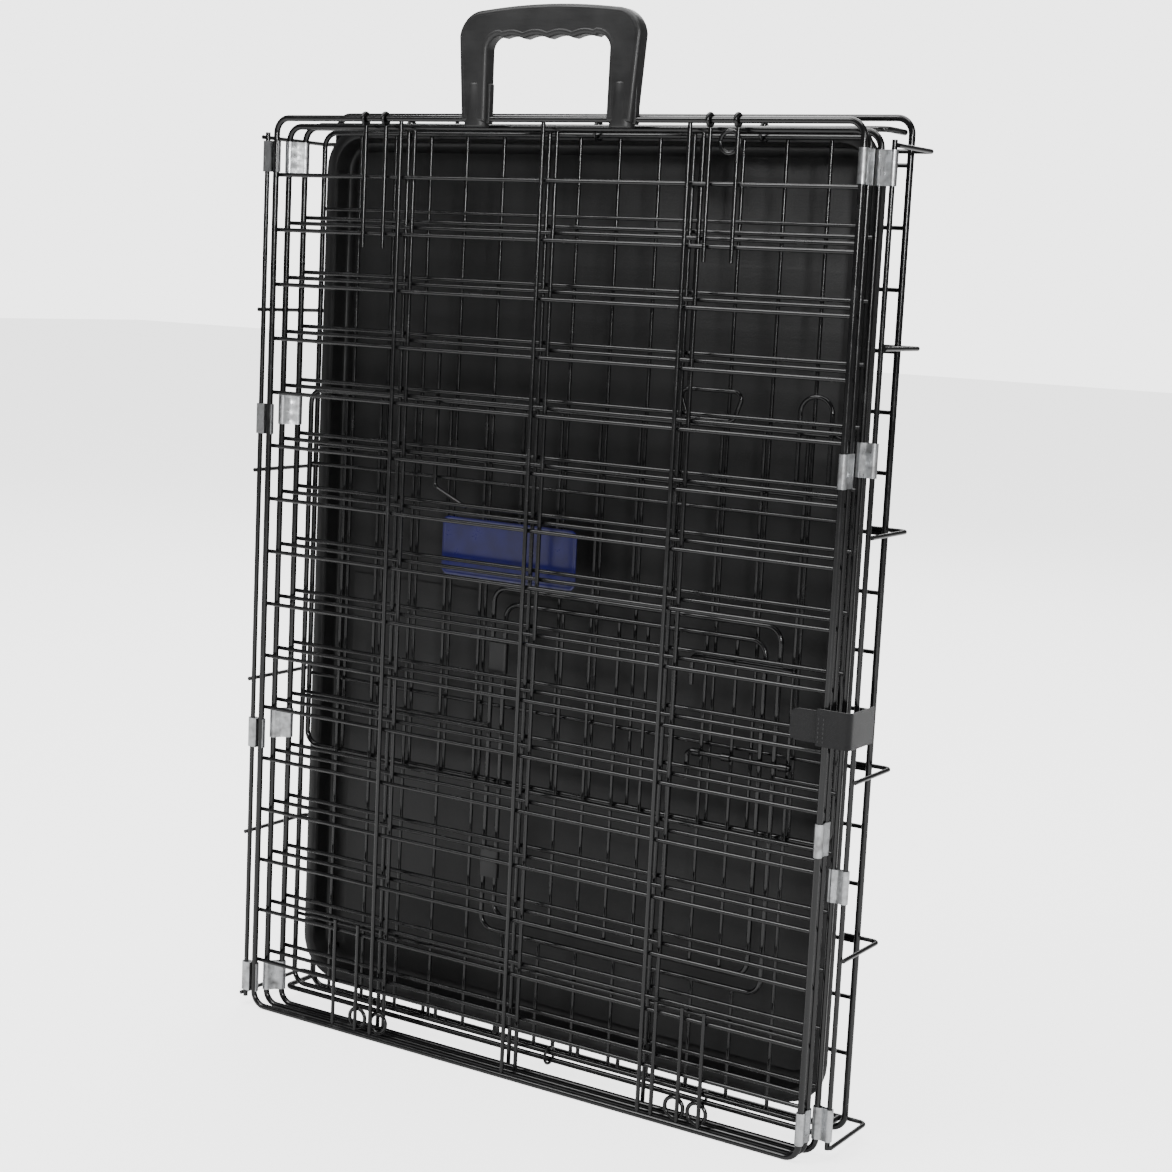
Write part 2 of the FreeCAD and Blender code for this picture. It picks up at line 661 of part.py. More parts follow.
# Strap: a tongue sewn in a loop round the front panel's right edge wire, and a band round the stack's side
loop_inner = frame_radius + strap_loop_clearance
loop_outer = loop_inner + strap_thickness
strap_low = cross_height(strap_gap_index) + grid_radius + strap_wire_gap
strap_front = side_a_depth - loop_outer - strap_thickness + weld_depth
strap_side = right_rail_x + rail_radius + 2.0 * grid_radius + strap_side_gap
loop_centre = Vector(side_a_right, side_a_depth, strap_low)
strap_loop = Part.makeCylinder(loop_outer, strap_width, loop_centre, UP)
tongue_low = Vector(side_a_right - strap_tongue_reach, strap_front, strap_low)
tongue_high = Vector(strap_side - strap_fold_gap, strap_front + strap_thickness, strap_low + strap_width)
tongue = block(tongue_low, tongue_high)
tip_edges = []
for edge in tongue.Edges:
    along_depth = abs(edge.tangentAt(edge.FirstParameter).y) > 0.99
    if along_depth and edge.CenterOfMass.x < side_a_right:
        tip_edges.append(edge)
tongue = tongue.makeFillet((strap_width - strap_tip_flat) / 2.0, tip_edges)
tongue = tongue.fuse(strap_loop).cut(Part.makeCylinder(loop_inner, strap_width, loop_centre, UP))
write_node("strap_tongue", [tongue])
fold_radius = strap_thickness / 2.0
fold_line = Vector(strap_side + fold_radius, strap_front + fold_radius, strap_low)
band_low = Vector(strap_side, fold_line.y, strap_low)
band_high = Vector(strap_side + strap_thickness, front_end_depth, strap_low + strap_width)
band_fold = Part.makeCylinder(fold_radius, strap_width, fold_line, UP)
write_node("strap_band", [block(band_low, band_high).fuse(band_fold)])

# Doubled hook wires at the front panel's ends, with eyes round the top rail
hook_depth = side_a_depth + frame_radius - hook_wire_radius
rail_eye_radius = frame_radius + hook_wire_radius
top_end = rail_height - rail_eye_radius - hook_wire_radius + weld_depth
low_end = 2.0 * frame_radius - weld_depth
bottom_hook_high = cross_height(1) + bottom_hook_past_wire
top_hook_low = cross_height(cross_count - 2) - top_hook_past_wire


def hook_wire(x, low, high):
    """One of the doubled wires, welded on the cross wires between two heights."""
    return rod(Vector(x, hook_depth, low), Vector(x, hook_depth, high), hook_wire_radius)


top_hooks = []
for x in top_hook_places:
    top_hooks.append(hook_wire(x, top_hook_low, top_end))
    top_hooks.append(ring(Vector(x, side_a_depth, rail_height), rail_eye_radius, hook_wire_radius))
write_node("side_a_top_hooks", top_hooks)
bottom_hooks = [hook_wire(x, low_end, bottom_hook_high) for x in bottom_hook_places]
write_node("side_a_bottom_hooks", bottom_hooks)

# Curled eyes that lie flat against the backs of the hook wires
curl_depth = hook_depth + 2.0 * hook_wire_radius - weld_depth
curl_reach = curl_radius + hook_wire_radius
low_curl = 2.0 * frame_radius + curl_reach
high_curl = panel_length - 2.0 * frame_radius - curl_rail_gap - curl_reach
curl_centres = [Vector(x, curl_depth, low_curl) for x in bottom_curl_places]
curl_centres += [Vector(x, curl_depth, high_curl) for x in top_curl_places]
curls = [Part.makeTorus(curl_radius, hook_wire_radius, centre, ALONG_Y) for centre in curl_centres]
write_node("side_a_curled_eyes", curls)
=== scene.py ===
"""Looks of the folding wire crate, folded flat and standing on a short end. Lengths are in metres."""

import logging
import math
from dataclasses import dataclass
from enum import Enum
from typing import Callable, Iterable, Sequence

import bmesh
import bpy
from mathutils import Matrix, Vector


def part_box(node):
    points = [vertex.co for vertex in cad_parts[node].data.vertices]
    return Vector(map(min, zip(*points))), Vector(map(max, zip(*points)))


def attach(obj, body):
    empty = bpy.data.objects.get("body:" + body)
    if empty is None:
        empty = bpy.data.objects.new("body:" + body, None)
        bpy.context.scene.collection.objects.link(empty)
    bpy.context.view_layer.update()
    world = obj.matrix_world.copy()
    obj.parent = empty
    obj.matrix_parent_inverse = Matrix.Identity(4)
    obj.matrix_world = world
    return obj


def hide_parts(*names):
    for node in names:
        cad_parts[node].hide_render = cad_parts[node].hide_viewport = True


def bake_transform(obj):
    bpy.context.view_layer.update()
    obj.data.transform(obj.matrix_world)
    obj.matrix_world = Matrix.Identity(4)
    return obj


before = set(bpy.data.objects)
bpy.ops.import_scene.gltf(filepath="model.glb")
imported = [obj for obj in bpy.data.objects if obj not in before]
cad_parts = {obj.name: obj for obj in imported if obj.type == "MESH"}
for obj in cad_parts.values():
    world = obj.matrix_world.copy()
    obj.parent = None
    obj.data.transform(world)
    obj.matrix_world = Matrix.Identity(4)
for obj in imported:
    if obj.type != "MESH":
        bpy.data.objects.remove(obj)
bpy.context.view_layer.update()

logging.basicConfig(level=logging.INFO, format="%(message)s")
log = logging.getLogger("crate")

FRAME_WIRE_RADIUS = 0.0025
RAIL_RADIUS = 0.002
RAIL_CLIP_RADIUS = 0.0031
SAME_PLACE = 1e-6
SAME_LEVEL = 1e-5
FACES_SQUARELY = 0.999
LARGE_FACE = 0.001


class Body(Enum):
    """The moving bodies that pieces ride on."""

    FLOOR = "floor"
    SIDE_A = "side_a"
    ROOF = "roof"
    SIDE_B = "side_b"
    PAN = "pan"
    HANDLE = "handle"
    STRAP = "strap"


class Colour(Enum):
    """Base colours, as linear red, green and blue."""

    COATED_BLACK = (0.0035, 0.0035, 0.0038, 1.0)
    SCUFFED_BLACK = (0.012, 0.012, 0.0125, 1.0)
    ZINC = (0.52, 0.53, 0.54, 1.0)
    ZINC_STAIN = (0.26, 0.26, 0.26, 1.0)
    PAN_BLACK = (0.0032, 0.0032, 0.0034, 1.0)
    # Grey that the pan's base colour is lifted to in broad patches along its flow lines: painted sheen.
    PAN_PAINTED_SHEEN = (0.0062, 0.0062, 0.0066, 1.0)
    HANDLE_GREY = (0.014, 0.014, 0.0142, 1.0)
    HANDLE_PALE = (0.021, 0.021, 0.0212, 1.0)
    STRAP_DARK = (0.006, 0.006, 0.0064, 1.0)
    STRAP_PALE = (0.022, 0.022, 0.023, 1.0)
    THREAD = (0.035, 0.035, 0.037, 1.0)
    PLATE_BLUE = (0.006, 0.006, 0.085, 1.0)
    PLATE_DEEP = (0.003, 0.003, 0.045, 1.0)
    STUDIO_FLOOR = (0.86, 0.86, 0.86, 1.0)


class Shader:
    """A node material under construction, on Object coordinates."""

    def __init__(self, name: str) -> None:
        """Starts a material.

        Args:
            name: The material's name.
        """
        self.material = bpy.data.materials.new(name)
        self.material.use_nodes = True
        self.tree = self.material.node_tree
        self.tree.nodes.clear()
        self.surface = self.add("ShaderNodeBsdfPrincipled")
        output = self.add("ShaderNodeOutputMaterial")
        self.join(self.surface.outputs["BSDF"], output.inputs["Surface"])
        self.coordinates = self.add("ShaderNodeTexCoord").outputs["Object"]

    def add(self, kind: str) -> bpy.types.Node:
        """Adds a node.

        Args:
            kind: The node's type.

        Returns:
            The new node.
        """
        return self.tree.nodes.new(kind)

    def join(self, source: bpy.types.NodeSocket, target: bpy.types.NodeSocket) -> None:
        """Links one socket to another.

        Args:
            source: The output.
            target: The input.
        """
        self.tree.links.new(source, target)

    def constant(self, **values: object) -> None:
        """Sets constant values on the shader's own sockets.

        Args:
            values: Socket names, with underscores for spaces, and their values.
        """
        for name, value in values.items():
            self.surface.inputs[name.replace("_", " ")].default_value = value

    def mapped(self, stretch: Sequence[float]) -> bpy.types.NodeSocket:
        """Object coordinates, stretched along the axes.

        Args:
            stretch: Scale along X, Y and Z.

        Returns:
            The mapped vector.
        """
        mapping = self.add("ShaderNodeMapping")
        mapping.inputs["Scale"].default_value = tuple(stretch)
        self.join(self.coordinates, mapping.inputs["Vector"])
        return mapping.outputs["Vector"]

    def noise(self, scale: float, detail: float = 3.0,
              stretch: Sequence[float] = (1.0, 1.0, 1.0)) -> bpy.types.NodeSocket:
        """Noise on the piece.

        Args:
            scale: Cells per metre.
            detail: Octaves.
            stretch: Scale along the axes.

        Returns:
            The noise factor.
        """
        node = self.add("ShaderNodeTexNoise")
        node.inputs["Scale"].default_value = scale
        node.inputs["Detail"].default_value = detail
        self.join(self.mapped(stretch), node.inputs["Vector"])
        return node.outputs["Fac"]

    def speckle(self, scale: float) -> bpy.types.NodeSocket:
        """Voronoi cells.

        Args:
            scale: Cells per metre.

        Returns:
            The distance from each cell's point.
        """
        node = self.add("ShaderNodeTexVoronoi")
        node.inputs["Scale"].default_value = scale
        self.join(self.coordinates, node.inputs["Vector"])
        return node.outputs["Distance"]

    def spread(self, source: bpy.types.NodeSocket, low: float, high: float,
               start: float = 0.3, end: float = 0.7) -> bpy.types.NodeSocket:
        """Maps a factor onto a range of values.

        Args:
            source: The factor.
            low: Value at the start.
            high: Value at the end.
            start: Factor where the range begins.
            end: Factor where it ends.

        Returns:
            The mapped value.
        """
        node = self.add("ShaderNodeMapRange")
        node.inputs["From Min"].default_value = start
        node.inputs["From Max"].default_value = end
        node.inputs["To Min"].default_value = low
        node.inputs["To Max"].default_value = high
        self.join(source, node.inputs["Value"])
        return node.outputs["Result"]

    def blend(self, share: bpy.types.NodeSocket, first: Colour, second: Colour) -> bpy.types.NodeSocket:
        """Mixes two colours.

        Args:
            share: Share of the second colour.
            first: The first colour.
            second: The second colour.

        Returns:
            The mixed colour.
        """
        node = self.add("ShaderNodeMix")
        node.data_type = "RGBA"
        self.join(share, node.inputs["Factor"])
        node.inputs[6].default_value = first.value
        node.inputs[7].default_value = second.value
        return node.outputs[2]

    def combine(self, kind: str, first: bpy.types.NodeSocket, second: object) -> bpy.types.NodeSocket:
        """One arithmetic step.

        Args:
            kind: The Math node's operation.
            first: The first operand.
            second: The second operand, a socket or a number.

        Returns:
            The result.
        """
        node = self.add("ShaderNodeMath")
        node.operation = kind
        self.join(first, node.inputs[0])
        if isinstance(second, (int, float)):
            node.inputs[1].default_value = second
        else:
            self.join(second, node.inputs[1])
        return node.outputs["Value"]

    def paint(self, colour: bpy.types.NodeSocket) -> None:
        """Links the base colour.

        Args:
            colour: The colour.
        """
        self.join(colour, self.surface.inputs["Base Color"])

    def rough(self, value: bpy.types.NodeSocket) -> None:
        """Links the roughness.

        Args:
            value: The roughness.
        """
        self.join(value, self.surface.inputs["Roughness"])

    def bump(self, layers: Sequence[tuple[bpy.types.NodeSocket, float, float]]) -> None:
        """Stacks bump layers.

        Args:
            layers: Height, strength and depth of each layer, the coarsest first.
        """
        normal = None
        for height, strength, depth in layers:
            node = self.add("ShaderNodeBump")
            node.inputs["Strength"].default_value = strength
            node.inputs["Distance"].default_value = depth
            self.join(height, node.inputs["Height"])
            if normal is not None:
                self.join(normal, node.inputs["Normal"])
            normal = node.outputs["Normal"]
        self.join(normal, self.surface.inputs["Normal"])


@dataclass(frozen=True)
class CoatedWire:
    """Electro-coated black wire: satin gloss, fine orange peel, and faint scuffs."""

    name: str = "coated_wire"
    lowest_roughness: float = 0.14
    highest_roughness: float = 0.27
    peel_per_metre: float = 900.0
    drawn_marks_per_metre: float = 260.0
    scuffs_per_metre: float = 55.0
    dust_per_metre: float = 420.0
    patches_per_metre: float = 38.0

    def make(self) -> bpy.types.Material:
        """Builds the material."""
        shader = Shader(self.name)
        scuffs = shader.noise(self.scuffs_per_metre, 6.0)
        dust = shader.noise(self.dust_per_metre, 4.0)
        scuffed = shader.spread(scuffs, 0.0, 1.0, 0.56, 0.72)
        worn = shader.combine("MULTIPLY", scuffed, shader.spread(dust, 0.3, 1.0))
        shader.paint(shader.blend(worn, Colour.COATED_BLACK, Colour.SCUFFED_BLACK))
        peel = shader.noise(self.peel_per_metre, 2.0)
        patchy = shader.noise(self.patches_per_metre, 4.0)
        patches = shader.spread(patchy, self.lowest_roughness, self.highest_roughness)
        shader.rough(shader.combine("ADD", patches, shader.spread(worn, 0.0, 0.16, 0.0, 1.0)))
        runs = shader.noise(self.drawn_marks_per_metre, 3.0, (1.0, 1.0, 0.35))
        shader.bump([(runs, 0.12, 0.0002), (peel, 0.16, 0.00012)])
        shader.constant(Specular_IOR_Level=0.42, Coat_Weight=0.22, Coat_Roughness=0.08)
        return shader.material


@dataclass(frozen=True)
class ZincSheet:
    """Bright zinc-plated sheet: brushed along the clip, with soft stains and crystal spangle."""

    name: str = "zinc_sheet"
    brush_per_metre: float = 1500.0
    spangle_per_metre: float = 260.0
    stains_per_metre: float = 120.0

    def make(self) -> bpy.types.Material:
        """Builds the material."""
        shader = Shader(self.name)
        brush = shader.noise(self.brush_per_metre, 3.0, (1.0, 1.0, 0.06))
        spangle = shader.speckle(self.spangle_per_metre)
        stain = shader.noise(self.stains_per_metre, 5.0)
        stained = shader.spread(stain, 0.0, 1.0, 0.42, 0.68)
        share = shader.combine("MULTIPLY", stained, shader.spread(spangle, 0.35, 1.0, 0.1, 0.7))
        shader.paint(shader.blend(share, Colour.ZINC, Colour.ZINC_STAIN))
        dulled = shader.spread(stain, 0.0, 0.14, 0.4, 0.7)
        shader.rough(shader.combine("ADD", shader.spread(brush, 0.22, 0.36), dulled))
        shader.bump([(stain, 0.15, 0.0006), (brush, 0.22, 0.00015)])
        shader.constant(Metallic=1.0, Anisotropic=0.35)
        return shader.material


@dataclass(frozen=True)
class PanPlastic:
    """Moulded pan plastic: fine leather grain, faint flow lines, and a painted sheen that lifts the base
    colour to grey in broad patches along them.
    """

    name: str = "pan_plastic"
    grain_per_metre: float = 700.0
    flow_per_metre: float = 240.0
    # Scale of the broad noise that places the pan's painted sheen and also varies its roughness.
    dust_per_metre: float = 5.0

    def make(self) -> bpy.types.Material:
        """Builds the material."""
        shader = Shader(self.name)
        dust = shader.noise(self.dust_per_metre, 6.0)
        grain = shader.noise(self.grain_per_metre, 3.0)
        flow = shader.noise(self.flow_per_metre, 3.0, (0.02, 1.0, 1.0))
        # Painted sheen: broad noise patches along the flow lines lift the base colour from black to grey. The
        # same noise also varies the roughness.
        painted_sheen_patches = shader.spread(dust, 0.0, 1.0, 0.35, 0.7)
        lift = shader.combine("MULTIPLY", painted_sheen_patches, shader.spread(flow, 0.5, 1.0))
        shader.paint(shader.blend(lift, Colour.PAN_BLACK, Colour.PAN_PAINTED_SHEEN))
        shader.rough(shader.combine("ADD", shader.spread(dust, 0.36, 0.50), shader.spread(grain, 0.0, 0.08)))
        shader.bump([(flow, 0.14, 0.0006), (grain, 0.35, 0.0003)])
        shader.constant(Specular_IOR_Level=0.5)
        return shader.material


@dataclass(frozen=True)
class HandlePlastic:
    """Moulded handle plastic: dark grey with a soft sheen, fine texture and rubbed patches."""

    name: str = "handle_plastic"
    grain_per_metre: float = 1400.0
    rubs_per_metre: float = 36.0
    scratches_per_metre: float = 420.0

    def make(self) -> bpy.types.Material:
        """Builds the material."""
        shader = Shader(self.name)
        rubbed = shader.noise(self.rubs_per_metre, 5.0)
        grain = shader.noise(self.grain_per_metre, 3.0)
        scratches = shader.noise(self.scratches_per_metre, 4.0, (0.12, 1.0, 1.0))
        shader.paint(shader.blend(shader.spread(rubbed, 0.0, 1.0), Colour.HANDLE_GREY, Colour.HANDLE_PALE))
        smooth = shader.spread(rubbed, 0.30, 0.42)
        shader.rough(shader.combine("ADD", smooth, shader.spread(scratches, 0.0, 0.07)))
        shader.bump([(scratches, 0.08, 0.0002), (grain, 0.22, 0.00015)])
        shader.constant(Specular_IOR_Level=0.5)
        return shader.material


@dataclass(frozen=True)
class StrapTape:
    """Hook-and-loop tape: woven ribs across it, warp threads along it, and a fuzzy nap."""

    name: str = "strap_tape"
    rib_per_metre: float = 900.0
    warp_per_metre: float = 700.0
    nap_per_metre: float = 1800.0
    wear_per_metre: float = 70.0

    def make(self) -> bpy.types.Material:
        """Builds the material."""
        shader = Shader(self.name)
        split = shader.add("ShaderNodeSeparateXYZ")
        shader.join(shader.coordinates, split.inputs["Vector"])
        along = shader.combine("ADD", split.outputs["X"], split.outputs["Y"])
        rib_turns = shader.combine("MULTIPLY", along, self.rib_per_metre * math.tau)
        rib = shader.combine("SINE", rib_turns, 0.0)
        warp_turns = shader.combine("MULTIPLY", split.outputs["Z"], self.warp_per_metre * math.tau)
        warp = shader.combine("SINE", warp_turns, 0.0)
        weave = shader.combine("MULTIPLY", rib, warp)
        nap = shader.noise(self.nap_per_metre, 5.0)
        wear = shader.noise(self.wear_per_metre, 5.0)
        woven = shader.spread(weave, 0.25, 1.0, -1.0, 1.0)
        fuzzy = shader.combine("MULTIPLY", woven, shader.spread(nap, 0.2, 1.0))
        share = shader.combine("MULTIPLY", fuzzy, shader.spread(wear, 0.55, 1.0))
        shader.paint(shader.blend(share, Colour.STRAP_DARK, Colour.STRAP_PALE))
        shader.rough(shader.spread(nap, 0.72, 0.95))
        shader.bump([(wear, 0.25, 0.0008), (weave, 0.5, 0.00022), (nap, 0.6, 0.0003)])
        shader.constant(Sheen_Weight=0.35, Sheen_Roughness=0.45, Specular_IOR_Level=0.25)
        return shader.material


@dataclass(frozen=True)
class Thread:
    """Sewing thread, twisted."""

    name: str = "sewing_thread"
    twists_per_metre: float = 2600.0

    def make(self) -> bpy.types.Material:
        """Builds the material."""
        shader = Shader(self.name)
        twist = shader.noise(self.twists_per_metre, 2.0)
        shader.paint(shader.blend(shader.spread(twist, 0.0, 1.0), Colour.STRAP_PALE, Colour.THREAD))
        shader.rough(shader.spread(twist, 0.45, 0.7))
        shader.bump([(twist, 0.5, 0.0002)])
        return shader.material


@dataclass(frozen=True)
class PlatePlastic:
    """Plain blue printed plate: soft mottling in the ink under a gloss film."""

    name: str = "plate_plastic"
    mottle_per_metre: float = 60.0
    film_per_metre: float = 900.0

    def make(self) -> bpy.types.Material:
        """Builds the material."""
        shader = Shader(self.name)
        mottle = shader.noise(self.mottle_per_metre, 6.0)
        film = shader.noise(self.film_per_metre, 3.0)
        shader.paint(shader.blend(shader.spread(mottle, 0.0, 1.0), Colour.PLATE_BLUE, Colour.PLATE_DEEP))
        shader.rough(shader.combine("ADD", shader.spread(mottle, 0.24, 0.36), shader.spread(film, 0.0, 0.06)))
        shader.bump([(mottle, 0.08, 0.0006), (film, 0.15, 0.0001)])
        shader.constant(Coat_Weight=0.4, Coat_Roughness=0.15)
        return shader.material


@dataclass(frozen=True)
class StudioFloor:
    """Matt pale studio floor, lifted towards the backdrop's white."""

    name: str = "studio_floor"
    seen_glow: float = 2.6
    cast_glow: float = 0.10

    def make(self) -> bpy.types.Material:
        """Builds the material."""
        shader = Shader(self.name)
        shader.constant(Base_Color=Colour.STUDIO_FLOOR.value, Roughness=0.9, Specular_IOR_Level=0.2,
                        Emission_Color=(1.0, 1.0, 1.0, 1.0))
        seen = shader.add("ShaderNodeLightPath").outputs["Is Camera Ray"]
        glow = shader.spread(seen, self.cast_glow, self.seen_glow, 0.0, 1.0)
        shader.join(glow, shader.surface.inputs["Emission Strength"])
        return shader.material


class Palette:
    """Every finish, made once."""

    def __init__(self) -> None:
        """Makes the materials."""
        self.wire = CoatedWire().make()
        self.dull = CoatedWire("coated_sheet", lowest_roughness=0.42, highest_roughness=0.58).make()
        self.latch = CoatedWire("coated_latch_wire", lowest_roughness=0.12, highest_roughness=0.24).make()
        self.zinc = ZincSheet().make()
        self.pan = PanPlastic().make()
        self.handle = HandlePlastic().make()
        self.strap = StrapTape().make()
        self.thread = Thread().make()
        self.plate = PlatePlastic().make()
        self.floor = StudioFloor().make()

    def for_node(self, node: str) -> bpy.types.Material:
        """The finish of a carried-over node.

        Args:
            node: The node's name.

        Returns:
            Its material.
        """
        if node == "door_hinge_clips":
            return self.dull
        latch_words = ("bolt", "loop", "latch", "ring", "hook", "eyes")
        return self.latch if any(word in node for word in latch_words) else self.wire


class Mesh:
    """A bmesh on its way to becoming a named piece."""

    def __init__(self) -> None:
        """Starts empty."""
        self.bm = bmesh.new()

    def polygon(self, points: Sequence[Vector]) -> bmesh.types.BMFace:
        """A face from a few points in order.

        Args:
            points: The points.

        Returns:
            The face.
        """
        return self.bm.faces.new([self.bm.verts.new(point) for point in points])

    def pull(self, faces: Iterable[bmesh.types.BMFace], shift: Vector) -> list[bmesh.types.BMFace]:
        """Extrudes faces and moves the new ones.

        Args:
            faces: The faces.
            shift: How far they move.

        Returns:
            The moved faces.
        """
        made = bmesh.ops.extrude_face_region(self.bm, geom=list(faces))["geom"]
        points = [item for item in made if isinstance(item, bmesh.types.BMVert)]
        bmesh.ops.translate(self.bm, verts=points, vec=shift)
        return [item for item in made if isinstance(item, bmesh.types.BMFace)]

    def block(self, low: Vector, high: Vector, round_by: float, segments: int = 3) -> None:
        """A rounded box between two corners.

        Args:
            low: The lowest corner.
            high: The highest corner.
            round_by: Radius of its edges.
            segments: Faces round each edge.
        """
        size = high - low
        place = Matrix.Translation((low + high) / 2.0) @ Matrix.Diagonal((*size, 1.0))
        made = bmesh.ops.create_cube(self.bm, size=1.0, matrix=place)["verts"]
        edges = list(dict.fromkeys(edge for vert in made for edge in vert.link_edges))
        bmesh.ops.bevel(self.bm, geom=edges, offset=round_by, offset_type="OFFSET", segments=segments,
                        profile=0.5, affect="EDGES", material=-1)

    def soften(self, chosen: Callable[[bmesh.types.BMEdge], bool], radius: float, segments: int) -> None:
        """Bevels the edges that a test picks.

        Args:
            chosen: Says whether an edge is bevelled.
            radius: Width of the bevel.
            segments: Faces across it.
        """
        edges = [edge for edge in self.bm.edges if chosen(edge)]
        bmesh.ops.bevel(self.bm, geom=edges, offset=radius, offset_type="OFFSET", segments=segments,
                        profile=0.5, affect="EDGES", clamp_overlap=True, material=-1)

    def shade(self, sharpest: float = math.radians(34.0), flat_area: float = 0.0004,
              least_turn: float = math.radians(4.0)) -> None:
        """Smooth faces, with sharp edges at corners and round large flat faces.

        Args:
            sharpest: The angle above which an edge stays sharp.
            flat_area: The area above which a face counts as flat.
            least_turn: The angle above which an edge of a flat face stays sharp.
        """
        for face in self.bm.faces:
            face.smooth = True
        for edge in self.bm.edges:
            if len(edge.link_faces) == 2:
                large = max(face.calc_area() for face in edge.link_faces) > flat_area
                angle = edge.calc_face_angle(0.0)
                edge.smooth = angle < sharpest and not (large and angle > least_turn)

    def piece(self, name: str, material: bpy.types.Material, turn_out: bool = True) -> bpy.types.Object:
        """Ends the bmesh as an object at the origin.

        Args:
            name: The piece's name.
            material: Its finish.
            turn_out: Whether the normals are recalculated outwards.

        Returns:
            The object.
        """
        bmesh.ops.remove_doubles(self.bm, verts=self.bm.verts, dist=SAME_LEVEL)
        if turn_out:
            bmesh.ops.recalc_face_normals(self.bm, faces=self.bm.faces)
        self.shade()
        mesh = bpy.data.meshes.new(name)
        self.bm.to_mesh(mesh)
        self.bm.free()
        mesh.materials.append(material)
        made = bpy.data.objects.new(name, mesh)
        bpy.context.scene.collection.objects.link(made)
        return made


def arc(centre: Vector, start: float, end: float, radius: float, count: int,
        flat: Callable[[float, float], Vector]) -> list[Vector]:
    """Points on an arc in a plane.

    Args:
        centre: Its centre.
        start: Starting angle in degrees.
        end: Ending angle in degrees.
        radius: Its radius.
        count: Number of points.
        flat: Turns two plane coordinates into a point in space.

    Returns:
        The points in order.
    """
    first, last = math.radians(start), math.radians(end)
    angles = [first + (last - first) * step / (count - 1) for step in range(count)]
    return [centre + flat(radius * math.cos(angle), radius * math.sin(angle)) for angle in angles]


def upright(x: float, z: float) -> Vector:
    """A point of an upright plane that faces the front.

    Args:
        x: How far right.
        z: How far up.

    Returns:
        The point.
    """
    return Vector((x, 0.0, z))


def level(x: float, y: float) -> Vector:
    """A point of a level plane.

    Args:
        x: How far right.
        y: How far back.

    Returns:
        The point.
    """
    return Vector((x, y, 0.0))


def settle(piece: bpy.types.Object, body: Body, slot: str, *nodes: str) -> None:
    """Seats a finished piece on its body.

    Args:
        piece: The piece.
        body: The body that carries it.
        slot: Not used.
        nodes: The nodes that it stands for.
    """
    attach(piece, body.value)
    if nodes:
        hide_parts(*nodes)
    log.info("%s: %d faces", piece.name, len(piece.data.polygons))


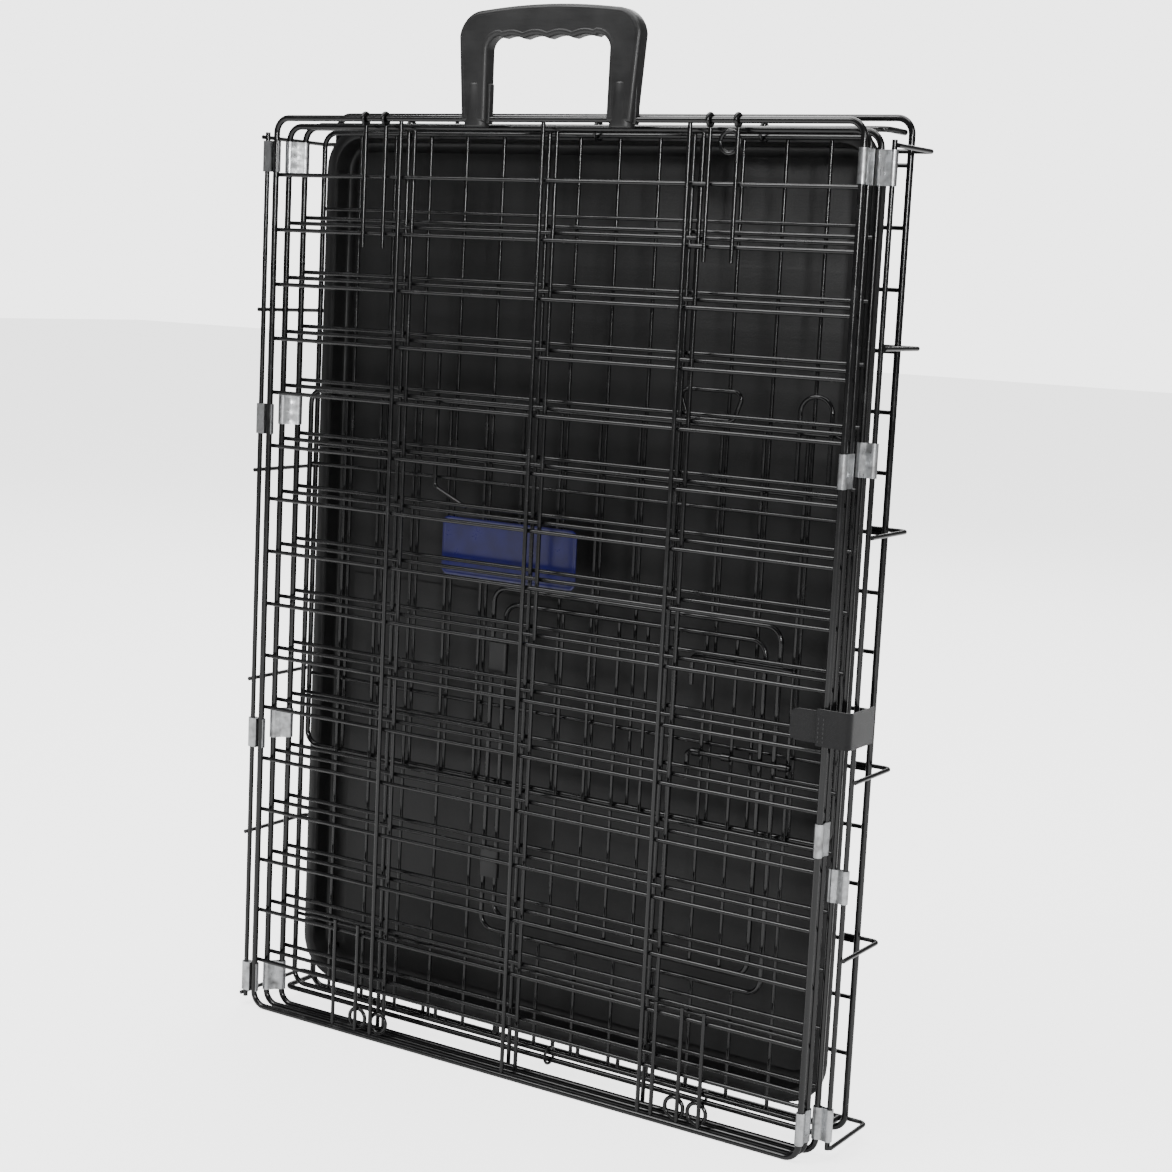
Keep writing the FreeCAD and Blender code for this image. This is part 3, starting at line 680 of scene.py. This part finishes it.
@dataclass
class CarryHandle:
    """The moulded handle that snaps over the front panel's top rail."""

    crown: float = 0.0035
    leg_width: float = 0.022
    leg_flare: float = 0.0045
    taper: float = 0.005
    grip_height: float = 0.0195
    outer_round: float = 0.022
    inner_round: float = 0.011
    scallops: int = 4
    scallop_depth: float = 0.0024
    edge_round: float = 0.0032
    edge_steps: int = 4
    panel_inset: float = 0.0011
    panel_sink: float = 0.00035
    foot_lift: float = 0.004
    shoulder_lean: float = 8.0
    outer_points: int = 9
    inner_points: int = 7
    crown_steps: int = 12
    scallop_steps: int = 8
    socket_radius: float = 0.0085
    socket_height: float = 0.034
    socket_stretch: float = 1.22
    socket_taper: float = 0.93
    socket_stand_out: float = 0.0008
    socket_edge_round: float = 0.0016
    lip_size: tuple[float, float, float] = (0.0032, 0.006, 0.030)
    lip_overlap: float = 0.001
    lip_lift: float = 0.003
    lip_round: float = 0.0008

    def build(self, palette: Palette) -> None:
        """Builds the grip, its sockets and the snap lips.

        Args:
            palette: The finishes.
        """
        low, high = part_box("carry_handle")
        depth = (low.y + high.y) / 2.0
        half_depth = (high.y - low.y) / 2.0
        mesh = Mesh()
        outline = self.outline(low, high)
        face = mesh.polygon([Vector((point.x, depth - half_depth, point.z)) for point in outline])
        mesh.pull([face], Vector((0.0, 2.0 * half_depth, 0.0)))
        bmesh.ops.recalc_face_normals(mesh.bm, faces=mesh.bm.faces)
        mesh.soften(lambda edge: abs(edge.verts[1].co.y - edge.verts[0].co.y) < SAME_PLACE
                    and edge.calc_face_angle(0.0) > 1.0, self.edge_round, self.edge_steps)
        fronts = [item for item in mesh.bm.faces
                  if abs(item.normal.y) > FACES_SQUARELY and item.calc_area() > LARGE_FACE]
        bmesh.ops.inset_region(mesh.bm, faces=fronts, thickness=self.panel_inset, depth=-self.panel_sink,
                               use_even_offset=True)
        self.sockets(mesh, low, high, depth, half_depth)
        piece = mesh.piece("carry_handle_moulding", palette.handle)
        settle(piece, Body.HANDLE, "handle_plastic", "carry_handle")

    def outline(self, low: Vector, high: Vector) -> list[Vector]:
        """The handle's outline, legs, crowned top and scalloped grip.

        Args:
            low: Lowest corner of the handle's box.
            high: Highest corner.

        Returns:
            Points in order round it.
        """
        foot = low.z + self.foot_lift
        left, right, lean = low.x, high.x, self.shoulder_lean
        shoulder = high.z - self.crown
        bend = shoulder - self.outer_round
        points = [upright(left + self.taper, foot)]
        points += arc(upright(left + self.outer_round, bend), 180.0 - lean, 90.0 + lean,
                      self.outer_round, self.outer_points, upright)
        span = right - left - 2.0 * self.outer_round
        for step in range(1, self.crown_steps):
            share = step / self.crown_steps
            lift = self.crown * (1.0 - (2.0 * share - 1.0) ** 2)
            points.append(upright(left + self.outer_round + span * share, shoulder + lift))
        points += arc(upright(right - self.outer_round, bend), 90.0 - lean, lean,
                      self.outer_round, self.outer_points, upright)
        points.append(upright(right - self.taper, foot))
        points.append(upright(right - self.taper - self.leg_width, foot))
        inner_top = shoulder - self.grip_height
        inner_bend = inner_top - self.inner_round
        inner_right = right - self.leg_width - self.leg_flare
        inner_left = left + self.leg_width + self.leg_flare
        points += arc(upright(inner_right - self.inner_round, inner_bend), lean, 90.0,
                      self.inner_round, self.inner_points, upright)
        grip = inner_right - inner_left - 2.0 * self.inner_round
        steps = self.scallop_steps * self.scallops
        for step in range(1, steps):
            share = step / steps
            wave = abs(math.sin(math.pi * self.scallops * share))
            points.append(upright(inner_right - self.inner_round - grip * share,
                                  inner_top - self.scallop_depth * (1.0 - wave)))
        points += arc(upright(inner_left + self.inner_round, inner_bend), 90.0, 180.0 - lean,
                      self.inner_round, self.inner_points, upright)
        points.append(upright(left + self.taper + self.leg_width, foot))
        return points

    def sockets(self, mesh: Mesh, low: Vector, high: Vector, depth: float, half_depth: float) -> None:
        """Round sockets in the feet, and the snap lips beside them.

        Args:
            mesh: The handle's mesh.
            low: Lowest corner of the handle's box.
            high: Highest corner.
            depth: Middle of the handle, front to back.
            half_depth: Half of its thickness.
        """
        bottom = low.z
        widen = self.socket_stretch
        deepen = (half_depth + self.socket_stand_out) / self.socket_radius
        for foot_left in (low.x + self.taper, high.x - self.taper - self.leg_width):
            centre = foot_left + self.leg_width / 2.0
            place = Matrix.Translation((centre, depth, bottom + self.socket_height / 2.0))
            squeeze = Matrix.Diagonal((widen, deepen, 1.0, 1.0))
            made = bmesh.ops.create_cone(mesh.bm, cap_ends=True, segments=32, radius1=self.socket_radius,
                                         radius2=self.socket_radius * self.socket_taper,
                                         depth=self.socket_height, matrix=place @ squeeze)["verts"]
            rims = [edge for vert in made for edge in vert.link_edges
                    if abs(edge.verts[0].co.z - edge.verts[1].co.z) < SAME_LEVEL]
            bmesh.ops.bevel(mesh.bm, geom=list(dict.fromkeys(rims)), offset=self.socket_edge_round,
                            offset_type="OFFSET", segments=3, profile=0.5, affect="EDGES", material=-1)
            lip_low = Vector((foot_left + self.leg_width - self.lip_overlap,
                              depth - self.lip_size[1] / 2.0, bottom + self.lip_lift))
            mesh.block(lip_low, lip_low + Vector(self.lip_size), self.lip_round)


@dataclass
class PanTray:
    """The shallow moulded pan with a rolled rim and concentric relief."""

    corner: float = 0.035
    corner_steps: int = 9
    least_corner: float = 0.010
    rim: float = 0.0050
    wall: float = 0.0022
    shell: float = 0.00176
    rim_back: tuple[tuple[float, float], ...] = (
        (0.0, 0.0024), (0.0, 0.0010), (0.0003, 0.0003), (0.0010, 0.0))
    rim_front: tuple[tuple[float, float], ...] = ((0.0010, 0.0), (0.0020, 0.0004), (0.0025, 0.0014))
    floor_curve: tuple[tuple[float, float], ...] = (
        (0.0038, 0.0040), (0.0046, 0.0018), (0.0062, 0.0005), (0.0085, 0.0))
    relief: tuple[tuple[float, float], ...] = (
        (0.018, 0.0), (0.0195, -0.0009), (0.032, -0.0009), (0.0335, 0.0), (0.070, 0.0), (0.072, 0.0010),
        (0.084, 0.0010), (0.086, 0.0), (0.135, 0.0), (0.1365, -0.0008), (0.146, -0.0008), (0.1475, 0.0))

    def build(self, palette: Palette) -> None:
        """Builds the pan as outlines bridged from the rim's back to the middle of its floor.

        Args:
            palette: The finishes.
        """
        low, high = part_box("pan")
        mesh = Mesh()
        loops = [self.loop(mesh, low, high, inset, depth) for inset, depth in self.profile(high.y - low.y)]
        for first, second in zip(loops, loops[1:]):
            bmesh.ops.bridge_loops(mesh.bm, edges=first + second)
        last = {vert for edge in loops[-1] for vert in edge.verts}
        bmesh.ops.contextual_create(mesh.bm, geom=list(last))
        bmesh.ops.recalc_face_normals(mesh.bm, faces=mesh.bm.faces)
        middle = min(mesh.bm.faces, key=lambda face: abs(face.calc_center_median().x) - face.calc_area())
        if middle.normal.y > 0.0:
            bmesh.ops.reverse_faces(mesh.bm, faces=mesh.bm.faces)
        bmesh.ops.solidify(mesh.bm, geom=list(mesh.bm.faces), thickness=self.shell)
        settle(mesh.piece("pan_moulding", palette.pan), Body.PAN, "pan_plastic", "pan")

    def profile(self, height: float) -> list[tuple[float, float]]:
        """Insets and depths of the outlines, from the rim's back edge inwards.

        Args:
            height: The pan's height.

        Returns:
            An inset and a depth for each outline.
        """
        floor = height - self.wall - self.shell
        profile = list(self.rim_back)
        profile += [(self.rim + past, depth) for past, depth in self.rim_front]
        profile += [(self.rim + past, floor - above) for past, above in self.floor_curve]
        profile += [(inset, floor + rise) for inset, rise in self.relief]
        return profile

    def loop(self, mesh: Mesh, low: Vector, high: Vector, inset: float,
             depth: float) -> list[bmesh.types.BMEdge]:
        """One rounded outline of the pan.

        Args:
            mesh: The pan's mesh.
            low: Lowest corner of the pan's box.
            high: Highest corner.
            inset: How far inside the pan's edge it lies.
            depth: How far behind the rim it lies.

        Returns:
            Its edges in order.
        """
        corner = max(self.corner - inset, self.least_corner)
        inset = inset + self.shell
        front = low.y + self.shell + depth
        outline: list[Vector] = []
        sides = (low.x + inset + corner, high.x - inset - corner)
        ends = (low.z + inset + corner, high.z - inset - corner)
        for right, top, start in ((1, 0, -90.0), (1, 1, 0.0), (0, 1, 90.0), (0, 0, 180.0)):
            centre = Vector((sides[right], front, ends[top]))
            outline += arc(centre, start, start + 90.0, corner, self.corner_steps, upright)
        ring = [mesh.bm.verts.new(point) for point in outline]
        return [mesh.bm.edges.new((ring[i - 1], ring[i])) for i in range(len(ring))]


@dataclass
class ClipRow:
    """Sheet-metal clips folded round two upright wires, pinched between them."""

    node: str
    body: Body
    fixed: Vector
    turning: Vector
    sheet: float = 0.0009
    fixed_radius: float = 0.0034
    turning_radius: float = 0.0034
    waist: float = 0.0021
    levels: int = 12
    least_gap: float = 0.04
    wrap: float = 108.0
    wrap_steps: int = 10
    presses: int = 3
    press_depth: float = 0.0005
    waist_spread: float = 0.18

    def build(self, palette: Palette) -> None:
        """Builds the row, one clip at the height of each of the node's solids.

        Args:
            palette: The finishes.
        """
        mesh = Mesh()
        for low, high in self.heights():
            self.clip(mesh, low, high)
        bmesh.ops.recalc_face_normals(mesh.bm, faces=mesh.bm.faces)
        bmesh.ops.solidify(mesh.bm, geom=list(mesh.bm.faces), thickness=self.sheet)
        settle(mesh.piece(self.node + "_folded", palette.zinc), self.body, "clip_steel", self.node)

    def heights(self) -> list[tuple[float, float]]:
        """Reads the clips' heights from the node's mesh.

        Returns:
            The lowest and highest level of each clip.
        """
        levels = sorted({round(vert.co.z, 4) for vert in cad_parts[self.node].data.vertices})
        spans: list[tuple[float, float]] = []
        start = levels[0]
        for before, after in zip(levels, levels[1:]):
            if after - before > self.least_gap:
                spans.append((start, before))
                start = after
        spans.append((start, levels[-1]))
        return spans

    def clip(self, mesh: Mesh, low: float, high: float) -> None:
        """One clip, as rings of points joined level by level.

        Args:
            mesh: The row's mesh.
            low: The clip's bottom.
            high: The clip's top.
        """
        ring = [mesh.bm.verts.new(point) for point in self.section(low, 0.0)]
        edges = [mesh.bm.edges.new((ring[i - 1], ring[i])) for i in range(len(ring))]
        for step in range(1, self.levels + 1):
            share = step / self.levels
            made = bmesh.ops.extrude_edge_only(mesh.bm, edges=edges)["geom"]
            ring = [item for item in made if isinstance(item, bmesh.types.BMVert)]
            edges = [item for item in made if isinstance(item, bmesh.types.BMEdge)]
            shape = self.section(low + (high - low) * share, share)
            for vert, point in zip(self.in_order(ring, shape), shape):
                vert.co = point

    def in_order(self, ring: Sequence[bmesh.types.BMVert],
                 shape: Sequence[Vector]) -> list[bmesh.types.BMVert]:
        """The ring's points, each matched to the nearest point of the next section.

        Args:
            ring: The points.
            shape: The next section.

        Returns:
            The points in the section's order.
        """
        left = list(ring)
        ordered: list[bmesh.types.BMVert] = []
        for point in shape:
            nearest = min(left, key=lambda vert: (vert.co.xy - point.xy).length)
            left.remove(nearest)
            ordered.append(nearest)
        return ordered

    def section(self, height: float, share: float) -> list[Vector]:
        """The clip's outline at one height, pressed in three times along the waist.

        Args:
            height: The height.
            share: How far up the clip it is.

        Returns:
            Points round it.
        """
        line = (self.turning - self.fixed).normalized()
        side = Vector((-line.y, line.x, 0.0))
        apart = (self.turning - self.fixed).length
        press = self.press_depth * (1.0 - math.cos(2.0 * self.presses * math.pi * share)) / 2.0
        waist = self.waist - press
        points: list[Vector] = []
        middle = (self.fixed + self.turning) / 2.0
        wires = ((self.turning, self.turning_radius, 1.0), (self.fixed, self.fixed_radius, -1.0))
        for centre, radius, sign in wires:
            for step in range(self.wrap_steps + 1):
                angle = math.radians(-self.wrap + 2.0 * self.wrap * step / self.wrap_steps)
                reach = sign * radius
                points.append(centre + line * (reach * math.cos(angle)) + side * (reach * math.sin(angle)))
            for shift in (self.waist_spread, 0.0, -self.waist_spread):
                along = sign * shift * apart * 0.5
                points.append(middle + line * along + side * (sign * waist))
        return [Vector((point.x, point.y, height)) for point in points]


@dataclass
class StrapTapeRun:
    """The hook-and-loop strap: a tongue on the front panel and a band round the stack's side."""

    thickness: float = 0.0014
    bend: float = 0.0045
    across: int = 6
    overlap: float = 0.026
    tape_inset: float = 0.0012
    layer_overhang: float = 0.0006
    layer_lift: float = 0.9
    layer_back: float = 0.001
    shell_share: float = 0.85
    tip_start: float = 24.0
    tip_share: float = 0.7
    tip_steps: int = 9
    run_steps: int = 9
    bend_points: int = 9
    side_steps: int = 12
    stitch: float = 0.0022
    stitch_radius: float = 0.00035
    stitch_pitch: float = 1.5
    stitch_rows: tuple[float, float] = (0.0022, 0.0062)
    stitch_margin: float = 0.003
    stitch_end_gap: float = 0.004
    stitch_flatness: float = 0.7
    stitch_sink: float = 0.0001

    def build(self, palette: Palette) -> None:
        """Builds the strap, its top layer and the stitches.

        Args:
            palette: The finishes.
        """
        tongue_low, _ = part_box("strap_tongue")
        band_low, band_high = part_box("strap_band")
        front = band_low.y
        side = band_high.x
        low, high = band_low.z, band_high.z
        lift = self.thickness * self.layer_lift
        inner = self.ribbon("strap_tape", tongue_low.x, band_high.y, front, side,
                            low + self.tape_inset, high - self.tape_inset, True, palette)
        outer = self.ribbon("strap_top_layer", side - self.overlap, band_high.y - self.layer_back,
                            front - lift, side + lift, low - self.layer_overhang,
                            high + self.layer_overhang, False, palette)
        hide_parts("strap_tongue", "strap_band")
        for piece in (inner, outer):
            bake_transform(piece)
            log.info("%s: %d faces", piece.name, len(piece.data.polygons))
        self.stitches(side - self.overlap, front - self.thickness * 1.9, low, high, palette)

    def ribbon(self, name: str, tip: float, back: float, front: float, side: float, low: float, high: float,
               rounded: bool, palette: Palette) -> bpy.types.Object:
        """A flat tape that runs along the front, round the side and back.

        Args:
            name: The piece's name.
            tip: X of its free end.
            back: Y of its rear end.
            front: Y of its front face.
            side: X of its outer face.
            low: Its lower edge.
            high: Its upper edge.
            rounded: Whether the free end is round.
            palette: The finishes.

        Returns:
            The piece.
        """
        half = (high - low) / 2.0
        middle = (low + high) / 2.0
        path: list[tuple[Vector, float]] = []
        if rounded:
            for step in range(self.tip_steps + 1):
                angle = math.radians(self.tip_start + (90.0 - self.tip_start) * step / self.tip_steps)
                reach = half * math.sin(angle) ** 0.5
                place = tip + half * self.tip_share * (1.0 - math.cos(angle))
                path.append((level(place, front), reach))
        else:
            path.append((level(tip, front), half))
        run_start = path[-1][0].x
        run_end = side - self.bend
        for step in range(1, self.run_steps):
            path.append((level(run_start + (run_end - run_start) * step / self.run_steps, front), half))
        for point in arc(level(run_end, front + self.bend), -90.0, 0.0, self.bend, self.bend_points, level):
            path.append((point, half))
        turned = front + self.bend
        for step in range(1, self.side_steps + 1):
            path.append((level(side, turned + (back - turned) * step / self.side_steps), half))
        mesh = Mesh()
        rows: list[list[bmesh.types.BMVert]] = []
        for place, reach in path:
            heights = [middle + reach * (2.0 * i / self.across - 1.0) for i in range(self.across + 1)]
            rows.append([mesh.bm.verts.new((place.x, place.y, height)) for height in heights])
        for first, second in zip(rows, rows[1:]):
            edges = [mesh.bm.edges.get((row[i], row[i + 1])) or mesh.bm.edges.new((row[i], row[i + 1]))
                     for row in (first, second) for i in range(self.across)]
            bmesh.ops.bridge_loops(mesh.bm, edges=edges)
        for face in mesh.bm.faces:
            face.normal_update()
            centre = face.calc_center_median()
            outward = Vector((0.0, -1.0, 0.0)) if centre.x < run_end else Vector((1.0, -0.3, 0.0))
            if face.normal.dot(outward) < 0.0:
                face.normal_flip()
        bmesh.ops.solidify(mesh.bm, geom=list(mesh.bm.faces), thickness=self.thickness * self.shell_share)
        return mesh.piece(name, palette.strap)

    def stitches(self, edge: float, front: float, low: float, high: float, palette: Palette) -> None:
        """Two short rows of stitches beside the top layer's edge.

        Args:
            edge: X of the top layer's edge.
            front: Y of its front face.
            low: The strap's lower edge.
            high: The strap's upper edge.
            palette: The finishes.
        """
        mesh = Mesh()
        pitch = self.stitch * self.stitch_pitch
        count = int((high - low - self.stitch_end_gap) / pitch)
        flatten = Matrix.Diagonal((1.0, self.stitch_flatness, 1.0, 1.0))
        stretch = self.stitch / (2.0 * self.stitch_radius)
        for offset in self.stitch_rows:
            for index in range(count):
                height = low + self.stitch_margin + pitch * index
                place = Matrix.Translation((edge + offset, front + self.stitch_sink, height)) @ flatten
                made = bmesh.ops.create_icosphere(mesh.bm, subdivisions=1, radius=self.stitch_radius,
                                                  matrix=place)
                for vert in made["verts"]:
                    vert.co.z = height + (vert.co.z - height) * stretch
        settle(mesh.piece("strap_stitches", palette.thread), Body.SIDE_A, "strap_fabric")


@dataclass
class LabelPlate:
    """The plain blue plate wired to the end panel."""

    corner_round: float = 0.006
    corner_steps: int = 8
    edge_round: float = 0.0003
    border: float = 0.0022
    groove_width: float = 0.0004
    groove_depth: float = 0.0002

    def build(self, palette: Palette) -> None:
        """Builds the plate with rounded corners and a raised border.

        Args:
            palette: The finishes.
        """
        low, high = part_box("label_plate")
        mesh = Mesh()
        place = Matrix.Translation((low + high) / 2.0) @ Matrix.Diagonal((*(high - low), 1.0))
        bmesh.ops.create_cube(mesh.bm, size=1.0, matrix=place)
        mesh.soften(lambda edge: abs(edge.verts[0].co.y - edge.verts[1].co.y) > 0.0005,
                    self.corner_round, self.corner_steps)
        front = [face for face in mesh.bm.faces if face.normal.y < -FACES_SQUARELY]
        mesh.soften(lambda edge: any(face in front for face in edge.link_faces), self.edge_round, 2)
        fronts = [face for face in mesh.bm.faces
                  if face.normal.y < -FACES_SQUARELY and face.calc_area() > LARGE_FACE]
        for width, sink in ((self.border, 0.0), (self.groove_width, self.groove_depth)):
            bmesh.ops.inset_region(mesh.bm, faces=fronts, thickness=width, depth=-sink,
                                   use_even_offset=True)
        settle(mesh.piece("blank_plate", palette.plate), Body.FLOOR, "label_plastic", "label_plate")


@dataclass
class Studio:
    """The floor, the lights and the camera."""

    eye: tuple[float, float, float] = (0.9166, -1.4173, 0.6449)
    yaw: float = 32.05
    pitch: float = 8.249
    roll: float = 2.788
    lens: float = 65.96
    floor_half_size: float = 14.0
    world_strength: float = 0.14
    backdrop_strength: float = 3.6

    def build(self, palette: Palette) -> None:
        """Builds the studio.

        Args:
            palette: The finishes.
        """
        mesh = Mesh()
        bmesh.ops.create_grid(mesh.bm, x_segments=1, y_segments=1, size=self.floor_half_size)
        floor = mesh.piece("studio_floor", palette.floor, False)
        self.light("key_softbox", (-1.3, -2.0, 2.6), (0.0, 0.0, 0.3), 1.2, 48.0)
        self.light("fill_softbox", (2.8, -1.2, 1.6), (0.0, 0.0, 0.35), 1.0, 26.0)
        self.light("top_softbox", (0.0, 0.0, 3.2), (0.0, 0.0, 0.4), 3.0, 120.0)
        self.light("strip_softbox", (1.9, -2.3, 0.9), (0.0, 0.0, 0.4), 0.35, 34.0)
        self.light("rim_softbox", (-1.2, 2.6, 2.4), (0.0, 0.0, 0.3), 2.0, 50.0)
        self.world()
        self.camera()

    def light(self, name: str, place: Sequence[float], target: Sequence[float], size: float,
              power: float) -> None:
        """A square softbox aimed at a point.

        Args:
            name: The lamp's name.
            place: Where it is.
            target: What it faces.
            size: Its side.
            power: Its power in watts.
        """
        data = bpy.data.lights.new(name, "AREA")
        data.shape = "SQUARE"
        data.size = size
        data.energy = power
        lamp = bpy.data.objects.new(name, data)
        bpy.context.scene.collection.objects.link(lamp)
        lamp.location = place
        lamp.rotation_mode = "QUATERNION"
        lamp.rotation_quaternion = (Vector(target) - Vector(place)).to_track_quat("-Z", "Y")

    def world(self) -> None:
        """An even white surround."""
        world = bpy.data.worlds.new("studio_surround")
        world.use_nodes = True
        tree = world.node_tree
        surround = tree.nodes["Background"]
        surround.inputs["Color"].default_value = (1.0, 1.0, 1.0, 1.0)
        seen = tree.nodes.new("ShaderNodeLightPath")
        strength = tree.nodes.new("ShaderNodeMapRange")
        strength.inputs["To Min"].default_value = self.world_strength
        strength.inputs["To Max"].default_value = self.backdrop_strength
        tree.links.new(seen.outputs["Is Camera Ray"], strength.inputs["Value"])
        tree.links.new(strength.outputs["Result"], surround.inputs["Strength"])
        bpy.context.scene.world = world

    def camera(self) -> None:
        """The camera, placed and turned by yaw, pitch and roll."""
        data = bpy.data.cameras.new("camera")
        data.sensor_width = 36.0
        data.lens = self.lens
        lens = bpy.data.objects.new("camera", data)
        bpy.context.scene.collection.objects.link(lens)
        yaw, pitch, roll = (math.radians(value) for value in (self.yaw, self.pitch, self.roll))
        ahead = Vector((-math.sin(yaw) * math.cos(pitch), math.cos(yaw) * math.cos(pitch), -math.sin(pitch)))
        right = Vector((math.cos(yaw), math.sin(yaw), 0.0))
        above = right.cross(ahead)
        turned_right = right * math.cos(roll) + above * math.sin(roll)
        turned_above = above * math.cos(roll) - right * math.sin(roll)
        turn = Matrix((turned_right, turned_above, -ahead)).transposed()
        lens.matrix_world = Matrix.Translation(self.eye) @ turn.to_4x4()
        data.clip_start = 0.01
        data.clip_end = 100.0
        bpy.context.scene.camera = lens


def dress_nodes(palette: Palette) -> None:
    """Gives every carried-over node its finish.

    Args:
        palette: The finishes.
    """
    for name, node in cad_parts.items():
        node.data.materials.clear()
        node.data.materials.append(palette.for_node(name))


def clip_rows() -> list[ClipRow]:
    """The folded clips of three hinge lines, placed by the edge wires' boxes.

    Returns:
        The rows, from the floor's to the front panel's.
    """

    def edge(node: str, right: bool, radius: float) -> Vector:
        """The axis of a node's left or right upright wire, from its box and radius."""
        low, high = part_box(node)
        return Vector((high.x - radius if right else low.x + radius, (low.y + high.y) / 2.0, 0.0))

    side_a_right = edge("side_a_frame", True, FRAME_WIRE_RADIUS)
    roof_left, roof_right = (edge("roof_frame", right, FRAME_WIRE_RADIUS) for right in (False, True))
    side_b_left, side_b_right = (edge("side_b_frame", right, FRAME_WIRE_RADIUS) for right in (False, True))
    right_rail = edge("right_hinge_rail", True, RAIL_RADIUS)
    return [
        ClipRow("floor_to_side_b_clips", Body.FLOOR, right_rail, side_b_right, fixed_radius=RAIL_CLIP_RADIUS),
        ClipRow("side_b_to_roof_clips", Body.SIDE_B, side_b_left, roof_left),
        ClipRow("roof_to_side_a_clips", Body.ROOF, roof_right, side_a_right),
    ]


def main() -> None:
    """Builds every piece in order."""
    palette = Palette()
    dress_nodes(palette)
    Studio().build(palette)
    CarryHandle().build(palette)
    PanTray().build(palette)
    for row in clip_rows():
        row.build(palette)
    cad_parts["floor_to_side_a_clips"].data.materials[0] = palette.zinc
    StrapTapeRun().build(palette)
    LabelPlate().build(palette)


if __name__ == "__main__":
    main()
